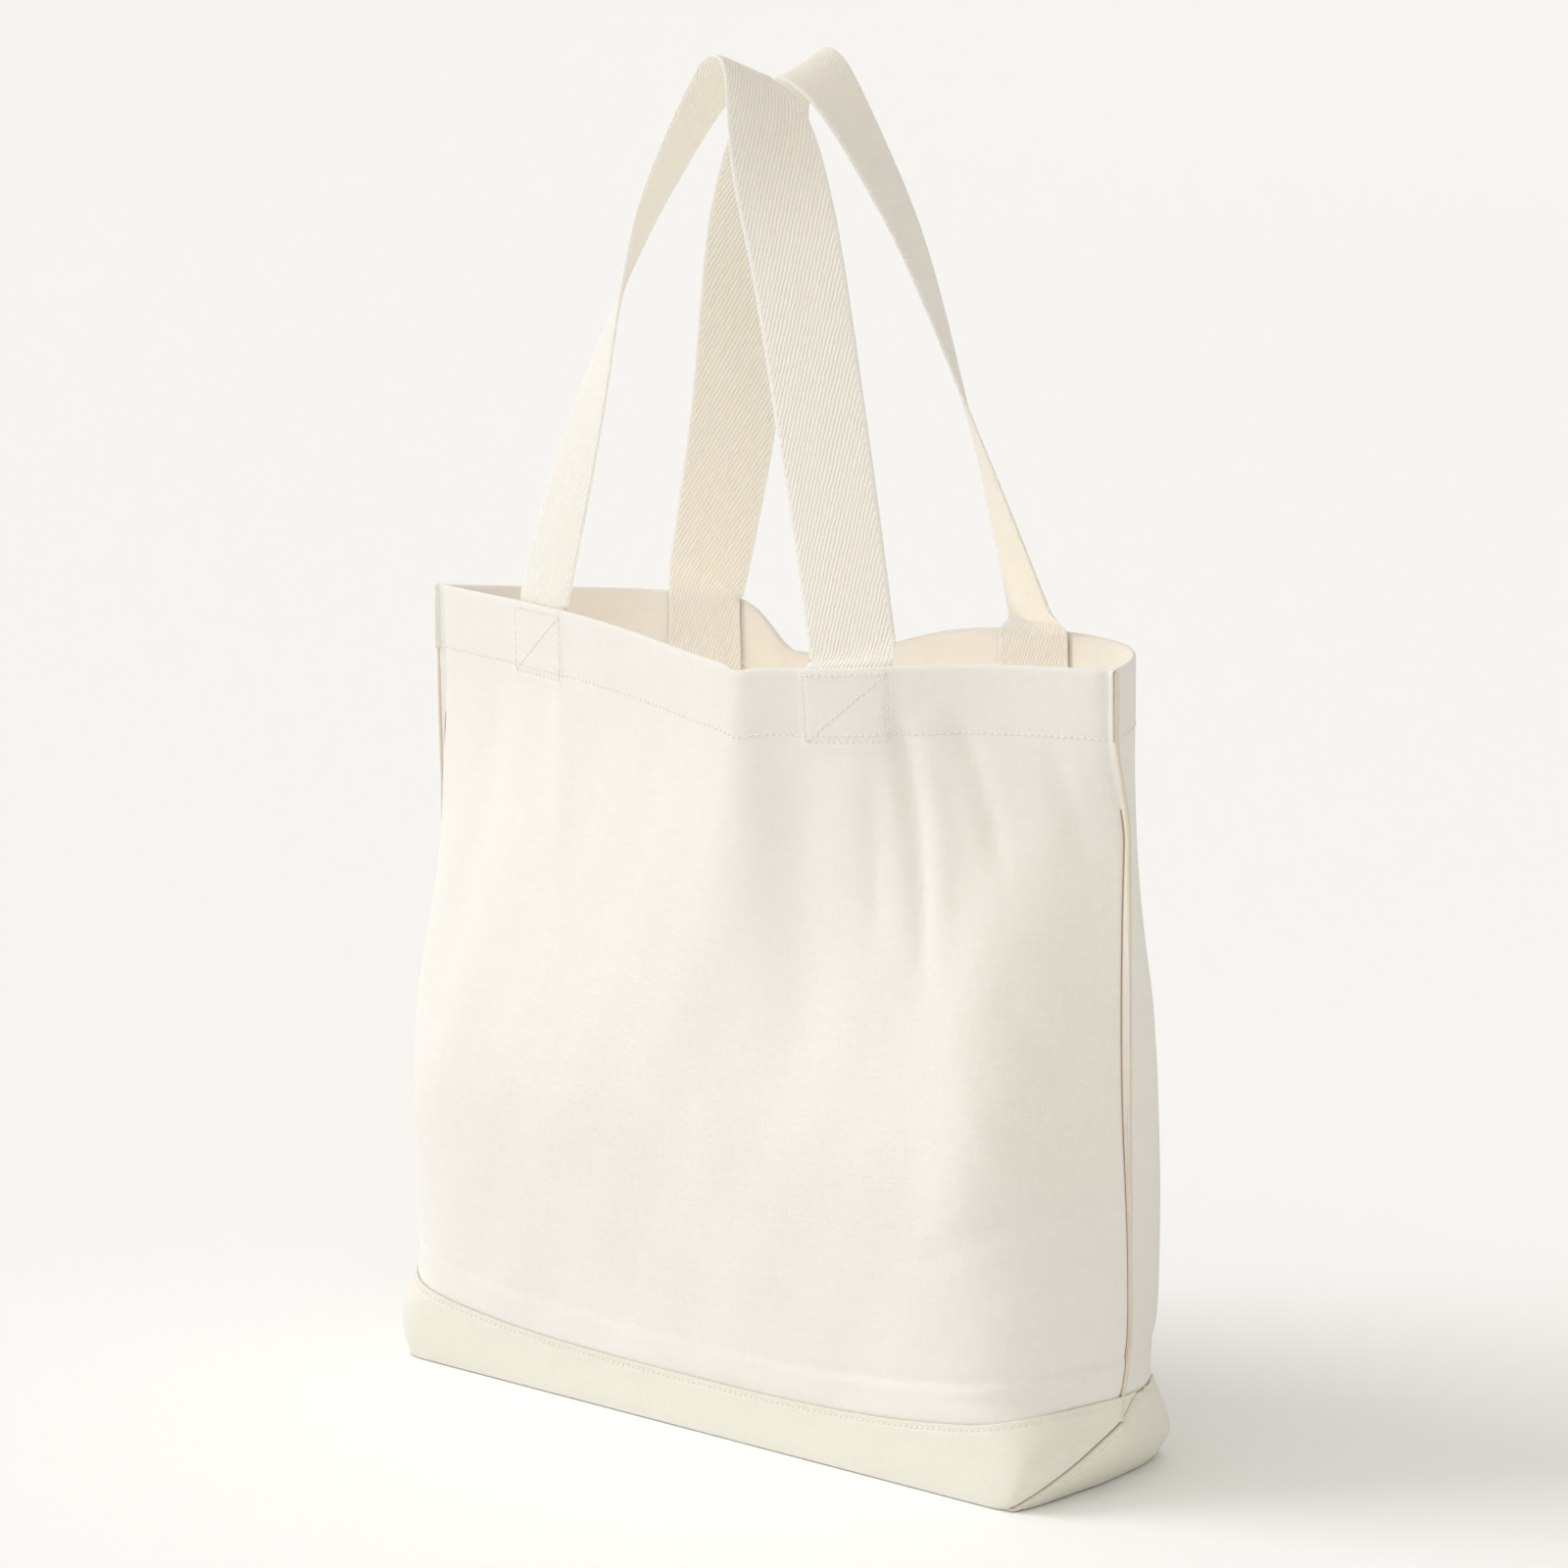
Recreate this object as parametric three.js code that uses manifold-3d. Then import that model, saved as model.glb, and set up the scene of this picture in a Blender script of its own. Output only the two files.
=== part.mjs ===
// Canvas tote bag with a boxed base, an open top and two webbing handles.
// Millimetres. +X runs to the bag's right, -Y faces its front, +Z is up, and the base
// stands on Z = 0 with the origin under its centre.
import * as THREE from "three";
import Module from "manifold-3d";

// Body.
const HEIGHT = 355; // floor to the rim at the side seams
const BASE_HALF_WIDTH = 187; // floor outline, between the boxed corners
const HALF_WIDTH = 205; // side seam to the middle, above the corner seams
const BASE_HALF_DEPTH = 58; // floor outline, front to middle
const HALF_DEPTH = 63; // fullest depth of the walls
const FLOOR_ROUND = 9; // height over which the floor edge rounds off
const SEAM_SHIFT = -8; // the side seams stand this far forward at the rim
const CORNER_HEIGHT = 33; // the corner seam meets the side seam here
const BOX_TOP = 120; // the walls are boxy below this height
const TENT_BOTTOM = 320; // and follow the open rim above this one
const SHARP_POWER = 44; // squareness of the floor outline
const SOFT_POWER = 12; // squareness of the walls above it
const SOFT_HEIGHT = 60;

// Plan of the open rim, left side seam to right side seam.
const FRONT_RIM = [[-205, -8], [38, -68], [95, -51], [205, -8]];
const BACK_RIM = [[-205, -8], [-122, 46], [-60, 56], [132, 62], [170, 42], [205, -8]];
const RIM_ROUND = 16; // how softly the rim turns at those points
const FRONT_SAG = { depth: 10, from: 40, to: 40, before: 85, after: 85 };
const BACK_SAG = { depth: 22, from: -38, to: -26, before: 20, after: 62 };

// Base band: its top edge is lowest in the middle and climbs to the side seams.
const BAND_MIDDLE = 25;
const BAND_RISE = 19;

// Cloth, webbing and thread.
const CLOTH = 1.2;
const WEBBING = 2;
const STRAP_WIDTH = 40;
const HEM_DEPTH = 30;
const GAP = 0.3;
const TAIL_LENGTH = 36; // strap sewn down inside the rim
const STRAP_START = 0.9; // where a loop begins, above the rim
const BOX_STITCH_WIDTH = 37;
const BOX_STITCH_TOP = 3;
const BOX_STITCH_BOTTOM = 33;
const THREAD_WIDTH = 0.8;
const THREAD = 0.4;
const THREAD_LIFT = 0.6; // clearance under a laid thread
const TOPSTITCH_DROP = 2.5;
const ALLOWANCE = 9; // side seam allowance left inside
const SEAM_WELT = 1.4; // raised line of a corner seam

// Strap middle lines: x, y, z, then the turn of the strap's width from +X, in degrees.
const FRONT_STRAP = {
  stations: [
    [-118, -26, 355, -14], [-92, -26, 435, -25], [-50, -23, 540, -64], [-1, -20.5, 597, -80],
    [33, -29, 536, -142], [66, -41, 434, -157], [87, -47, 351, -162],
  ],
  tilt: 16,
};
const BACK_STRAP = {
  stations: [
    [-88, 48, 353, 12], [-66, 44, 435, 29], [-35, 31, 537, 52], [4, 21, 595, 102],
    [51, 23, 534, 110], [83, 39, 435, 131], [99, 58, 355, 174],
  ],
  tilt: 20,
};
const STRAP_KNOTS = [0, 0.14, 0.32, 0.5, 0.68, 0.86, 1];
const TILT_SPREAD = 0.12; // share of the strap over which the tilt at its top fades

// Sampling.
const AROUND = 32; // steps along one panel
const UP = 9; // rows up one panel
const ALONG_STRAP = 36;
const INNER_CLOSE = 0.6; // share of u past which a wall's inner points draw closer together

const CANVAS = material(0xefeadb, 0.94);
const BAND = material(0xece6d0, 0.94);
const STRAP = material(0xe6dfcd, 0.9);
const STITCHING = material(0xf0ebdd, 0.85);
const TAPE = material(0xd9cfb3, 0.95);

const wasm = await Module();
wasm.setup();

function material(color, roughness) {
  return new THREE.MeshStandardMaterial({ color, roughness, metalness: 0 });
}

const smooth = (lo, hi, v) => THREE.MathUtils.smoothstep(v, lo, hi);
const steps = (n) => Array.from({ length: n + 1 }, (_, i) => i / n);

// ---- the shape of the bag ----

function lineAt(points, x) {
  let i = 1;
  while (i < points.length - 1 && points[i][0] < x) i++;
  const [[x0, y0], [x1, y1]] = [points[i - 1], points[i]];
  return y0 + ((y1 - y0) * (x - x0)) / (x1 - x0);
}

// The rim's plan with its turns rounded by averaging along it.
function rimY(rim, x) {
  const spread = [-1, -0.5, 0, 0.5, 1].map((k) => lineAt(rim, x + k * RIM_ROUND));
  return spread.reduce((a, b) => a + b) / spread.length;
}

const seamY = (z) => (SEAM_SHIFT * z) / HEIGHT;

function halfWidth(z) {
  const rise = Math.sin((Math.PI / 2) * Math.min(z / CORNER_HEIGHT, 1));
  return THREE.MathUtils.lerp(BASE_HALF_WIDTH, HALF_WIDTH, rise);
}

function halfDepth(z) {
  const under = Math.max(0, 1 - z / FLOOR_ROUND);
  return THREE.MathUtils.lerp(BASE_HALF_DEPTH, HALF_DEPTH, smooth(0, BOX_TOP, z)) - 3 * under * under;
}

function power(z) {
  const low = Math.max(0, 1 - z / SOFT_HEIGHT);
  return SOFT_POWER + (SHARP_POWER - SOFT_POWER) * low * low;
}

const alongX = (u) => Math.sin((Math.PI / 2) * u);

// A point of the wall's outer face in plan. side is -1 for the front and 1 for the back,
// u runs from -1 at the left side seam to 1 at the right one.
function wall(side, u, z, inset = 0) {
  const share = alongX(u);
  const x = (halfWidth(z) - inset) * share;
  const box = (halfDepth(z) - inset) * (1 - Math.abs(share) ** power(z));
  const rim = side < 0 ? FRONT_RIM : BACK_RIM;
  const tent = side * (rimY(rim, HALF_WIDTH * share) - SEAM_SHIFT);
  const open = smooth(BOX_TOP, TENT_BOTTOM, z);
  return [x, seamY(z) + side * THREE.MathUtils.lerp(box, tent, open)];
}

// Unit normal of the wall in plan, facing out.
function wallNormal(side, u, z) {
  const h = 0.02;
  const [x0, y0] = wall(side, Math.max(-1, u - h), z);
  const [x1, y1] = wall(side, Math.min(1, u + h), z);
  const length = Math.hypot(x1 - x0, y1 - y0);
  return [(-side * (y1 - y0)) / length, (side * (x1 - x0)) / length];
}

// How far toward the side seam, as a share of u, the wall's inner face reaches before it
// meets the seam's plane.
function innerReach(side, end, z, out) {
  let [lo, hi] = [0.7, 1];
  for (let turn = 0; turn < 22; turn++) {
    const mid = (lo + hi) / 2;
    const y = wall(side, end * mid, z)[1] + wallNormal(side, end * mid, z)[1] * out;
    if (side * (y - seamY(z)) > GAP / 2) lo = mid;
    else hi = mid;
  }
  return lo;
}

// The same point moved out by `out`, or in when it is negative. Near a side seam the inner
// face's points draw closer together, so that the last one lands on the seam's plane.
function wallPoint(side, u, z, out = 0) {
  const end = u < 0 ? -1 : 1;
  const beyond = Math.max(0, Math.abs(u) - INNER_CLOSE);
  const reach = out < 0 && beyond > 0 ? innerReach(side, end, z, out) : 1;
  const v = u - (end * beyond * (1 - reach)) / (1 - INNER_CLOSE);
  const [x, y] = wall(side, v, z);
  const [nx, ny] = wallNormal(side, v, z);
  const atSeam = Math.abs(u) > 0.999;
  return new THREE.Vector3(x + nx * out, atSeam ? seamY(z) + (side * GAP) / 2 : y + ny * out, z);
}

function rimZ(side, x) {
  const sag = side < 0 ? FRONT_SAG : BACK_SAG;
  const away = Math.max(0, sag.from - x) / sag.before + Math.max(0, x - sag.to) / sag.after;
  return HEIGHT - sag.depth * Math.exp(-(away ** 2));
}

const bandZ = (x) => BAND_MIDDLE + BAND_RISE * Math.abs(x / HALF_WIDTH) ** 3;

// ---- closed bodies ----

function body(points, faces) {
  const flat = points.flatMap((p) => p.toArray());
  const volume = faces.reduce((sum, [a, b, c]) => {
    return sum + points[a].dot(new THREE.Vector3().crossVectors(points[b], points[c]));
  }, 0);
  const index = faces.flatMap(([a, b, c]) => (volume < 0 ? [a, c, b] : [a, b, c]));
  const geometry = new THREE.BufferGeometry();
  geometry.setAttribute("position", new THREE.Float32BufferAttribute(flat, 3));
  geometry.setIndex(index);
  geometry.computeVertexNormals();
  return geometry;
}

const quad = (a, b, c, d) => [[a, b, c], [a, c, d]];

// A sheet with thickness: two grids of points, outer and inner, closed along all four edges.
function sheet(outer, inner) {
  const rows = outer.length, cols = outer[0].length, back = rows * cols;
  const at = (i, j) => i * cols + j;
  const faces = [];
  for (let i = 0; i < rows - 1; i++)
    for (let j = 0; j < cols - 1; j++) {
      const [a, b, c, d] = [at(i, j), at(i, j + 1), at(i + 1, j + 1), at(i + 1, j)];
      faces.push(...quad(a, b, c, d), ...quad(d + back, c + back, b + back, a + back));
    }
  const join = (a, b) => faces.push(...quad(b, a, a + back, b + back));
  for (let j = 0; j < cols - 1; j++) {
    join(at(0, j), at(0, j + 1));
    join(at(rows - 1, j + 1), at(rows - 1, j));
  }
  for (let i = 0; i < rows - 1; i++) {
    join(at(i + 1, 0), at(i, 0));
    join(at(i, cols - 1), at(i + 1, cols - 1));
  }
  return body([...outer, ...inner].flat(), faces);
}

// A tray: closed loops that start around a floor point and climb the wall, outside and inside.
function tray(outer, inner) {
  const around = outer[0].length;
  const points = [], faces = [];
  const lay = (loops) => {
    const centre = points.push(new THREE.Vector3(0, 0, loops[0][0].z)) - 1;
    const first = points.length;
    points.push(...loops.flat());
    return { centre, at: (i, j) => first + i * around + (j % around) };
  };
  const out = lay(outer), into = lay(inner);
  const top = outer.length - 1;
  for (let j = 0; j < around; j++) {
    faces.push([out.centre, out.at(0, j + 1), out.at(0, j)]);
    faces.push([into.centre, into.at(0, j), into.at(0, j + 1)]);
    for (let i = 0; i < top; i++) {
      faces.push(...quad(out.at(i, j), out.at(i, j + 1), out.at(i + 1, j + 1), out.at(i + 1, j)));
      faces.push(...quad(into.at(i + 1, j), into.at(i + 1, j + 1), into.at(i, j + 1), into.at(i, j)));
    }
    faces.push(...quad(out.at(top, j), out.at(top, j + 1), into.at(top, j + 1), into.at(top, j)));
  }
  return body(points, faces);
}

// A strip of the wall between two heights, from depth `near` to depth `far` inside its face.
function wallSheet(side, us, low, high, near, far, rows) {
  const grid = (depth) =>
    steps(rows).map((v) =>
      us.map((u) => {
        const x = HALF_WIDTH * alongX(u);
        return wallPoint(side, u, THREE.MathUtils.lerp(low(x), high(x), v), -depth);
      }),
    );
  return sheet(grid(near), grid(far));
}

const panelSteps = steps(AROUND).map((v) => 2 * v - 1);

// Steps of u that span a width of wall about x.
const toU = (x) => Math.asin(x / HALF_WIDTH) / (Math.PI / 2);

function spanSteps(x, width, count) {
  const [a, b] = [toU(x - width / 2), toU(x + width / 2)];
  return steps(count).map((v) => a + (b - a) * v);
}

// ---- the pieces ----

function panel(side) {
  return wallSheet(side, panelSteps, (x) => bandZ(x) + GAP, (x) => rimZ(side, x), 0, CLOTH, UP);
}

function rimHem(side) {
  const us = panelSteps.slice(1, -1);
  const near = CLOTH + GAP;
  const low = (x) => rimZ(side, x) - HEM_DEPTH;
  const high = (x) => rimZ(side, x) - GAP;
  return wallSheet(side, us, low, high, near, near + CLOTH, 2);
}

function basePanel() {
  const heights = [0, 0.08, 0.22, 0.45, 0.72, 1];
  const frontRun = panelSteps.slice(0, -1).map((u) => [-1, u]);
  const backRun = panelSteps.slice(1).reverse().map((u) => [1, u]);
  const ring = [...frontRun, ...backRun];
  const loop = (share, inset) =>
    ring.map(([side, u]) => {
      const z = inset + (bandZ(HALF_WIDTH * alongX(u)) - inset) * share;
      return new THREE.Vector3(...wall(side, u, z, inset), z);
    });
  const loops = (inset) => {
    const floor = loop(0, inset);
    const shrunk = [0.35, 0.7].map((k) => floor.map((p) => new THREE.Vector3(p.x * k, p.y * k, p.z)));
    return [...shrunk, floor, ...heights.slice(1).map((share) => loop(share, inset))];
  };
  return tray(loops(0), loops(CLOTH));
}

function strapTail(side, x) {
  const us = spanSteps(x, STRAP_WIDTH * 0.97, 3);
  const near = 2 * (CLOTH + GAP) + GAP;
  const low = (v) => rimZ(side, v) - TAIL_LENGTH;
  const high = (v) => rimZ(side, v) - GAP;
  return wallSheet(side, us, low, high, near, near + WEBBING, 2);
}

function interpolate(values, t) {
  let i = 1;
  while (i < STRAP_KNOTS.length - 1 && STRAP_KNOTS[i] < t) i++;
  const slope = (k) => {
    const [lo, hi] = [Math.max(k - 1, 0), Math.min(k + 1, values.length - 1)];
    return (values[hi] - values[lo]) / (STRAP_KNOTS[hi] - STRAP_KNOTS[lo]);
  };
  const span = STRAP_KNOTS[i] - STRAP_KNOTS[i - 1];
  const s = (t - STRAP_KNOTS[i - 1]) / span;
  const [a, b] = [values[i - 1], values[i]];
  const curve = (2 * s ** 3 - 3 * s ** 2 + 1) * a + (3 * s ** 2 - 2 * s ** 3) * b;
  return curve + span * ((s ** 3 - 2 * s ** 2 + s) * slope(i - 1) + (s ** 3 - s ** 2) * slope(i));
}

function handle(side, { stations, tilt }) {
  const column = (k) => stations.map((row) => row[k]);
  const middle = (t) => new THREE.Vector3(...[0, 1, 2].map((k) => interpolate(column(k), t)));
  const rows = steps(ALONG_STRAP).map((t) => {
    const centre = middle(t);
    const h = 0.005;
    const along = middle(Math.min(1, t + h)).sub(middle(Math.max(0, t - h))).normalize();
    const turn = THREE.MathUtils.degToRad(interpolate(column(3), t));
    const lean = THREE.MathUtils.degToRad(tilt * Math.exp(-(((t - 0.5) / TILT_SPREAD) ** 2)));
    const flat = Math.cos(lean);
    const across = new THREE.Vector3(Math.cos(turn) * flat, Math.sin(turn) * flat, Math.sin(lean));
    across.addScaledVector(along, -across.dot(along)).normalize();
    return { centre, across, out: new THREE.Vector3().crossVectors(across, along) };
  });
  const face = (offset) =>
    rows.map(({ centre, across, out }, i) =>
      [-1, 0, 1].map((k) => {
        const edge = centre.clone().addScaledVector(across, (k * STRAP_WIDTH) / 2);
        const p = edge.addScaledVector(out, offset);
        if (i === 0 || i === ALONG_STRAP) p.z = rimZ(side, p.x) + STRAP_START;
        return p;
      }),
    );
  return sheet(face(WEBBING / 2), face(-WEBBING / 2));
}

// A line of thread or a raised seam laid on the wall through the given [side, u, z] points.
function laidLine(points, width, lift, thickness) {
  const edge = (offset, out) => points.map(([side, u, z]) => wallPoint(side, u, z + offset, out));
  const grid = (out) => [edge(-width / 2, out), edge(width / 2, out)];
  return sheet(grid(lift + thickness), grid(lift));
}

function hemStitch(side) {
  const us = panelSteps.map((u) => u * 0.985);
  const points = us.map((u) => [side, u, rimZ(side, HALF_WIDTH * alongX(u)) - HEM_DEPTH + 1]);
  return laidLine(points, THREAD_WIDTH, THREAD_LIFT, THREAD);
}

function baseTopstitch(side) {
  const us = panelSteps.map((u) => u * 0.985);
  const points = us.map((u) => [side, u, bandZ(HALF_WIDTH * alongX(u)) - TOPSTITCH_DROP]);
  return laidLine(points, THREAD_WIDTH, THREAD_LIFT, THREAD);
}

function toManifold(geometry) {
  const mesh = new wasm.Mesh({
    numProp: 3,
    vertProperties: geometry.attributes.position.array,
    triVerts: new Uint32Array(geometry.index.array),
  });
  return new wasm.Manifold(mesh);
}

function fromManifold(solid) {
  const mesh = solid.getMesh();
  const geometry = new THREE.BufferGeometry();
  geometry.setAttribute("position", new THREE.BufferAttribute(mesh.vertProperties, 3));
  geometry.setIndex(new THREE.BufferAttribute(mesh.triVerts, 1));
  geometry.computeVertexNormals();
  return geometry;
}

// A stitched rectangle with one diagonal, laid over the hem stitch.
function boxStitch(side, x) {
  const lift = THREAD_LIFT + THREAD + GAP;
  const half = BOX_STITCH_WIDTH / 2;
  const place = (dx, drop) => [side, toU(x + dx), rimZ(side, x + dx) - drop];
  const corners = {
    topLeft: [-half, BOX_STITCH_TOP], topRight: [half, BOX_STITCH_TOP],
    lowLeft: [-half, BOX_STITCH_BOTTOM], lowRight: [half, BOX_STITCH_BOTTOM],
  };
  const bar = ([x0, d0], [x1, d1]) => {
    const [dx, dd] = [x1 - x0, d1 - d0];
    const k = THREAD_WIDTH / 2 / Math.hypot(dx, dd);
    const edge = (sign, out) =>
      steps(6).map((v) => {
        const stretch = v * (1 + 2 * k) - k;
        const [, u, z] = place(x0 + dx * stretch - sign * dd * k, d0 + dd * stretch + sign * dx * k);
        return wallPoint(side, u, z, out);
      });
    const grid = (out) => [edge(-1, out), edge(1, out)];
    return toManifold(sheet(grid(lift + THREAD), grid(lift)));
  };
  const { topLeft, topRight, lowLeft, lowRight } = corners;
  const frame = [[topLeft, topRight], [topRight, lowRight], [lowRight, lowLeft], [lowLeft, topLeft]];
  const bars = [...frame, [lowLeft, topRight]];
  return fromManifold(wasm.Manifold.union(bars.map(([a, b]) => bar(a, b))));
}

// The two raw edges of a side seam, pressed together inside the bag.
function sideAllowance(end) {
  const rows = steps(UP).map((v) => THREE.MathUtils.lerp(bandZ(HALF_WIDTH) + 4, HEIGHT - HEM_DEPTH - 2, v));
  const grid = (offset) =>
    rows.map((z) => {
      const reaches = [-1, 1].map((side) => end * wallPoint(side, end, z, -2 * CLOTH - GAP).x);
      const inner = Math.min(...reaches) - GAP;
      return [inner, inner - ALLOWANCE].map((x) => new THREE.Vector3(end * x, seamY(z) + offset, z));
    });
  return sheet(grid(-CLOTH), grid(CLOTH));
}

// The slanting seam that boxes a bottom corner, from floor corner to floor corner.
function cornerSeam(end) {
  const start = 0.78;
  const onCorner = (side, u) => {
    let z = 0;
    for (let turn = 0; turn < 8; turn++) {
      const reach = Math.abs(wall(side, u, z)[1] - seamY(z)) / BASE_HALF_DEPTH;
      z = CORNER_HEIGHT * Math.max(0, 1 - reach) + SEAM_WELT;
    }
    return [side, u, z];
  };
  const front = steps(7).map((v) => onCorner(-1, end * (start + (0.985 - start) * v)));
  const back = steps(7).map((v) => onCorner(1, end * (0.985 - (0.985 - start) * v)));
  return laidLine([...front, ...back], SEAM_WELT, THREAD_LIFT, THREAD);
}

// ---- assembly ----

const bag = new THREE.Group();
bag.name = "canvas_tote_bag";

function add(name, geometry, look) {
  const mesh = new THREE.Mesh(geometry, look);
  mesh.name = name;
  bag.add(mesh);
}

const halves = [
  { name: "front", side: -1, strap: FRONT_STRAP, left: -118, right: 87 },
  { name: "back", side: 1, strap: BACK_STRAP, left: -88, right: 99 },
];

add("base_panel", basePanel(), BAND);
for (const { name, side, strap, left, right } of halves) {
  add(`${name}_panel`, panel(side), CANVAS);
  add(`${name}_rim_hem`, rimHem(side), CANVAS);
  add(`${name}_handle`, handle(side, strap), STRAP);
  add(`${name}_hem_stitch`, hemStitch(side), STITCHING);
  add(`${name}_base_topstitch`, baseTopstitch(side), STITCHING);
  for (const [place, x] of [["left", left], ["right", right]]) {
    add(`${name}_${place}_handle_tail`, strapTail(side, x), STRAP);
    add(`${name}_${place}_box_stitch`, boxStitch(side, x), STITCHING);
  }
}
for (const [place, end] of [["left", -1], ["right", 1]]) {
  add(`${place}_side_seam`, sideAllowance(end), TAPE);
  add(`${place}_corner_seam`, cornerSeam(end), TAPE);
}

export default bag;
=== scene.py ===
"""Looks of the canvas tote bag: shaped cloth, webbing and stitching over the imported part.

Everything is in metres in the part's frame: +X to the bag's right, -Y to its front, +Z up.
Shapes are worked out in millimetres and scaled when a mesh is laid.
"""

import logging
import math
from dataclasses import dataclass
from enum import Enum
from typing import Sequence

import bmesh
import bpy
import numpy as np
from mathutils import Matrix, Vector


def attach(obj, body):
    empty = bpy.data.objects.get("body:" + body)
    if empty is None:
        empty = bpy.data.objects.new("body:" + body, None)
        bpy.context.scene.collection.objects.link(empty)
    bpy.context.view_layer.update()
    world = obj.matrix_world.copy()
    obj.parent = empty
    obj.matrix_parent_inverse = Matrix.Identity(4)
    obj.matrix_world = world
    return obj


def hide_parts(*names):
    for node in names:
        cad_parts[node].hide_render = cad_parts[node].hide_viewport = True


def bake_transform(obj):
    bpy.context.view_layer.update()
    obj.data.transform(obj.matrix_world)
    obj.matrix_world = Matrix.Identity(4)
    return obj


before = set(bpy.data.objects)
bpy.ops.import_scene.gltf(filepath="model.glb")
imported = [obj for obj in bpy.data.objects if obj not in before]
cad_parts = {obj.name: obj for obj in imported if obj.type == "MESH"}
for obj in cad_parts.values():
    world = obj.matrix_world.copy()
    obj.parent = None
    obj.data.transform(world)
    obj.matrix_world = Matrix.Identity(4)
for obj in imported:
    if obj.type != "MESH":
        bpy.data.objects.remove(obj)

logging.basicConfig(level=logging.INFO, format="%(message)s")
log = logging.getLogger("tote")

MM = 0.001
Array = np.ndarray
Socket = bpy.types.NodeSocket
Piece = bpy.types.Object
Finish = bpy.types.Material
CLOTH_UV = "Cloth"


class Side(Enum):
    """The two faces of the bag, by the way each looks along Y."""

    FRONT = -1
    BACK = 1


class End(Enum):
    """The two ends of the bag, by the way each looks along X."""

    LEFT = -1
    RIGHT = 1


def ramp(low: float, high: float, value: Array) -> Array:
    """Smooth step.

    Args:
        low: value where the step begins.
        high: value where it ends.
        value: where to read it.

    Returns:
        0 before low, 1 after high, and a smooth rise between.
    """
    t = np.clip((np.asarray(value, float) - low) / (high - low), 0, 1)
    return t * t * (3 - 2 * t)


def bump_of(distance: Array, width: float) -> Array:
    """A rounded bump, 1 at zero distance, that fades over width."""
    return np.exp(-((np.asarray(distance, float) / width) ** 2))


def spaced(low: float, high: float, step: float, fine: Sequence[tuple[float, float, float]] = ()) -> Array:
    """Positions from low to high, closer together around chosen places.

    Args:
        low: first position.
        high: last position.
        step: usual spacing.
        fine: (centre, reach, spacing) of each closer stretch.

    Returns:
        Rising positions that hold both ends.
    """
    made = [low]
    while made[-1] < high:
        here = made[-1]
        gap = min([step] + [s for c, r, s in fine if abs(here - c) <= r])
        ahead = [c - r - here for c, r, _ in fine if 1e-6 < c - r - here < gap]
        made.append(here + min([gap] + ahead))
    made[-1] = high
    return np.array(made)


@dataclass(frozen=True)
class Fold:
    """A soft ridge (positive depth) or valley (negative) pressed into a panel, in millimetres."""

    x0: float
    z0: float
    x1: float
    z1: float
    width: float
    depth: float

    def press(self, x: Array, z: Array) -> Array:
        """How far the fold moves the cloth out.

        Args:
            x: places along the panel.
            z: their heights.

        Returns:
            The outward shift at each place.
        """
        dx, dz = self.x1 - self.x0, self.z1 - self.z0
        length = math.hypot(dx, dz)
        along = ((x - self.x0) * dx + (z - self.z0) * dz) / length**2
        across = ((x - self.x0) * dz - (z - self.z0) * dx) / length
        fade = ramp(-0.22, 0.12, along) * (1 - ramp(0.6, 1.15, along))
        return self.depth * fade * bump_of(across, self.width)


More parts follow.
